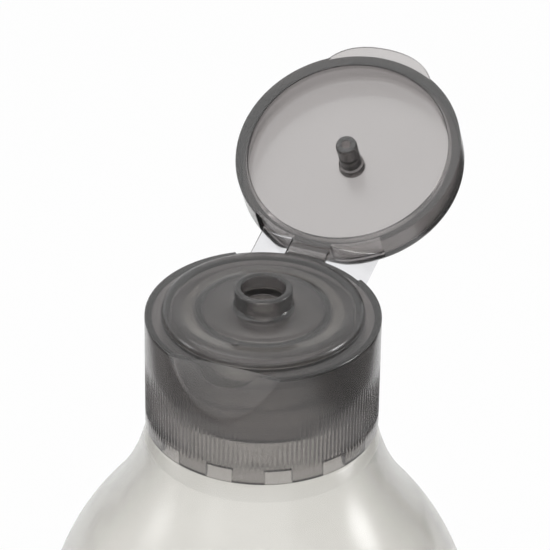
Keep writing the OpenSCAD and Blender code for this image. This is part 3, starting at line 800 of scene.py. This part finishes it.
class BOTTLE_OT_stage(bpy.types.Operator):
    """Sets the camera, the white floor, the sky and the lamps"""
    bl_idname = "bottle.stage"
    bl_label = "Stage"

    # The photograph's view: degrees round the bottle, above it and rolled.
    azimuth = 21.13
    elevation = 32.39
    roll = 0.84
    # The camera's distance from its aim, and the aim's place in the view from the closure's foot.
    distance = 420.4 * MM
    aim_right = 1.573 * MM
    aim_up = 17.08 * MM
    lens = 229.1

    # How far the floor reaches each way, in metres.
    floor_reach = 3.0

    # Each card's name, place to the right of the axis, and shade; then half its width, and its
    # lower and upper edge.
    card_table = (("card_right", 48 * MM, "#181818"), ("card_left", -48 * MM, "#8A8A8A"))
    card_half = 110 * MM
    card_low = 113 * MM
    card_high = 143 * MM

    # Strength of the sky in front and behind, and the direction in which it is brightest.
    sky_front = 0.6
    sky_back = 0.95
    sky_brightest = (-0.35, 0.85, 0.39)

    # Each lamp's name, place and width in metres, and power in watts.
    lamp_table = (
        ("top_lamp", (-0.3, 0.0, 0.9), 0.6, 1.2),
        ("left_softbox", (-0.8, -0.38, 0.16), 0.3, 0.9),
        ("right_softbox", (0.85, 0.23, 0.16), 0.3, 2.2),
        ("front_softbox", (-0.27, -0.86, 0.12), 0.3, 0.4))

    def execute(self, context):
        self.camera(context)
        self.floor(context)
        self.cards(context)
        self.sky(context)
        self.lamps(context)
        context.scene.view_settings.view_transform = "Standard"
        return {"FINISHED"}

    def camera(self, context):
        """The photograph's view: the aim is a little right of and above the closure's foot."""
        a, e, roll = (math.radians(v) for v in (self.azimuth, self.elevation, self.roll))
        right = Vector((math.cos(a), math.sin(a), 0))
        back = Vector((math.sin(a) * math.cos(e), -math.cos(a) * math.cos(e), math.sin(e)))
        up = back.cross(right)
        rolled = right * math.cos(roll) + up * math.sin(roll)
        upright = up * math.cos(roll) - right * math.sin(roll)
        aim = Vector((0, 0, COLLAR_Z)) + self.aim_right * rolled + self.aim_up * upright
        data = bpy.data.cameras.new("camera")
        data.lens, data.clip_start, data.clip_end = self.lens, 0.01, 20
        camera = bpy.data.objects.new("camera", data)
        turn = Matrix((rolled, upright, back)).transposed().to_4x4()
        camera.matrix_world = Matrix.Translation(aim + self.distance * back) @ turn
        context.scene.collection.objects.link(camera)
        context.scene.camera = camera

    def sheet(self, context, name, corners, material):
        """One flat sheet of the stage."""
        mesh = bpy.data.meshes.new(name)
        mesh.from_pydata(corners, [], [(0, 1, 2, 3)])
        mesh.materials.append(material)
        sheet = bpy.data.objects.new(name, mesh)
        context.scene.collection.objects.link(sheet)
        return sheet

    def floor(self, context):
        """A wide sheet that the bottle stands on."""
        far = self.floor_reach
        corners = [(-far, -far, 0), (far, -far, 0), (far, far, 0), (-far, far, 0)]
        self.sheet(context, "floor", corners, backdrop_paper())

    def cards(self, context):
        """Dull cards on both sides that only reflections and soft light meet, as in a studio."""
        a = math.radians(self.azimuth)
        right, back = Vector((math.cos(a), math.sin(a), 0)), Vector((-math.sin(a), math.cos(a), 0))
        half = self.card_half * back
        low, high = Vector((0, 0, self.card_low)), Vector((0, 0, self.card_high))
        for name, away, shade in self.card_table:
            foot = away * right
            corners = [foot - half + low, foot + half + low, foot + half + high, foot - half + high]
            card = self.sheet(context, name, corners, studio_card(name, shade))
            card.visible_camera = card.visible_shadow = False
            card.visible_transmission = away > 0

    def sky(self, context):
        """A soft sky that is plain white where it is looked at, and brightest behind as a light."""
        world = bpy.data.worlds.new("studio")
        context.scene.world = world
        world.use_nodes = True
        tree = world.node_tree
        tree.nodes.clear()
        toward = add(tree, "ShaderNodeTexCoord").outputs["Generated"]
        behind = add(tree, "ShaderNodeVectorMath", {0: toward, 1: self.sky_brightest},
                     operation="DOT_PRODUCT")
        soft = add(tree, "ShaderNodeMapRange", {
            "Value": behind.outputs["Value"], "From Min": -1.0,
            "To Min": self.sky_front, "To Max": self.sky_back})
        power = add(tree, "ShaderNodeMapRange", {
            "Value": white_seen(tree), "To Min": soft.outputs["Result"], "To Max": 1.0})
        white = add(tree, "ShaderNodeBackground", {
            "Color": (1, 1, 1, 1), "Strength": power.outputs["Result"]})
        add(tree, "ShaderNodeOutputWorld", {"Surface": white.outputs[0]})

    def lamps(self, context):
        """A lamp above and three softboxes, all aimed at the closure's foot."""
        for name, place, width, watts in self.lamp_table:
            data = bpy.data.lights.new(name, "AREA")
            data.shape, data.size, data.energy = "DISK", width, watts
            lamp = bpy.data.objects.new(name, data)
            lamp.location = place
            aim = Vector((0, 0, COLLAR_Z)) - Vector(place)
            lamp.rotation_euler = aim.to_track_quat("-Z", "Y").to_euler()
            context.scene.collection.objects.link(lamp)


class BOTTLE_OT_bottle(bpy.types.Operator):
    """Builds the blow-moulded bottle with its threaded neck"""
    bl_idname = "bottle.bottle"
    bl_label = "Bottle"

    def execute(self, context):
        points, faces = bottle_mesh(context.scene.bottle_sizes)
        piece = new_piece("bottle_blown", points, faces, natural_polyethylene())
        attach(piece, "bottle")
        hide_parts("bottle")
        return {"FINISHED"}


class BOTTLE_OT_closure(bpy.types.Operator):
    """Builds the ribbed screw closure with its spout, and the mark of its gate"""
    bl_idname = "bottle.closure"
    bl_label = "Closure"

    def execute(self, context):
        sizes = context.scene.closure_sizes
        plastic = smoke_polypropylene()
        points, faces = closure_mesh(sizes, context.scene.hinge_sizes)
        piece = new_piece("closure_moulded", points, faces, plastic)
        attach(piece, "closure")
        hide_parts("cap_base")
        gate = new_piece("gate_mark", *gate_mesh(sizes), plastic)
        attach(gate, "closure")
        return {"FINISHED"}


class BOTTLE_OT_lid(bpy.types.Operator):
    """Builds the flip lid with its pin and thumb tab"""
    bl_idname = "bottle.lid"
    bl_label = "Flip lid"

    def execute(self, context):
        scene = context.scene
        points, faces = lid_mesh(scene.lid_sizes, scene.hinge_sizes, scene.closure_sizes)
        piece = new_piece("lid_moulded", points, faces, smoke_polypropylene())
        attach(piece, "lid")
        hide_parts("flip_lid")
        return {"FINISHED"}


class BOTTLE_OT_hinge(bpy.types.Operator):
    """Builds the hinge's strap and its two thin webs"""
    bl_idname = "bottle.hinge"
    bl_label = "Hinge"

    def execute(self, context):
        scene = context.scene
        sizes, closure, lid = scene.hinge_sizes, scene.closure_sizes, scene.lid_sizes
        # The webs and the strap are built as they stand with the lid open: each web is thinnest
        # at its middle, and the thicker strap makes a short bend through the hinge's line.
        film = smoke_film()
        for name, side in (("hinge_web_left", -1), ("hinge_web_right", 1)):
            web = new_piece(name + "_film", *web_mesh(sizes, closure, lid, side), film)
            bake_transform(web)
            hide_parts(name)
        points, faces = strap_mesh(sizes, closure, lid)
        strap = new_piece("hinge_strap_moulded", points, faces, smoke_polypropylene())
        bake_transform(strap)
        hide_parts("hinge_strap")
        return {"FINISHED"}


OPERATORS = [BOTTLE_OT_stage, BOTTLE_OT_bottle, BOTTLE_OT_closure, BOTTLE_OT_lid, BOTTLE_OT_hinge]
GROUPS = {"bottle_sizes": BottleSizes, "closure_sizes": ClosureSizes, "lid_sizes": LidSizes,
          "hinge_sizes": HingeSizes, "finish_colours": FinishColours}


class BOTTLE_PT_pieces(bpy.types.Panel):
    """Lists the pieces and the values that shape them"""
    bl_idname = "BOTTLE_PT_pieces"
    bl_label = "Flip-top bottle"
    bl_space_type = "VIEW_3D"
    bl_region_type = "UI"
    bl_category = "Bottle"

    def draw(self, context):
        for operator in OPERATORS:
            self.layout.operator(operator.bl_idname)
        for name, group in GROUPS.items():
            box = self.layout.box()
            box.label(text=group.__doc__)
            for value in group.__annotations__:
                box.prop(getattr(context.scene, name), value)


def register():
    """Makes the classes known, and gives each scene one group of every kind."""
    for cls in [*GROUPS.values(), *OPERATORS, BOTTLE_PT_pieces]:
        bpy.utils.register_class(cls)
    for name, group in GROUPS.items():
        setattr(bpy.types.Scene, name, PointerProperty(type=group))


def unregister():
    """Takes back what register has made known."""
    for name in GROUPS:
        delattr(bpy.types.Scene, name)
    for cls in reversed([*GROUPS.values(), *OPERATORS, BOTTLE_PT_pieces]):
        bpy.utils.unregister_class(cls)


def main():
    """Builds everything in order."""
    register()
    for operator in OPERATORS:
        group, name = operator.bl_idname.split(".")
        getattr(getattr(bpy.ops, group), name)()


if __name__ == "__main__":
    main()
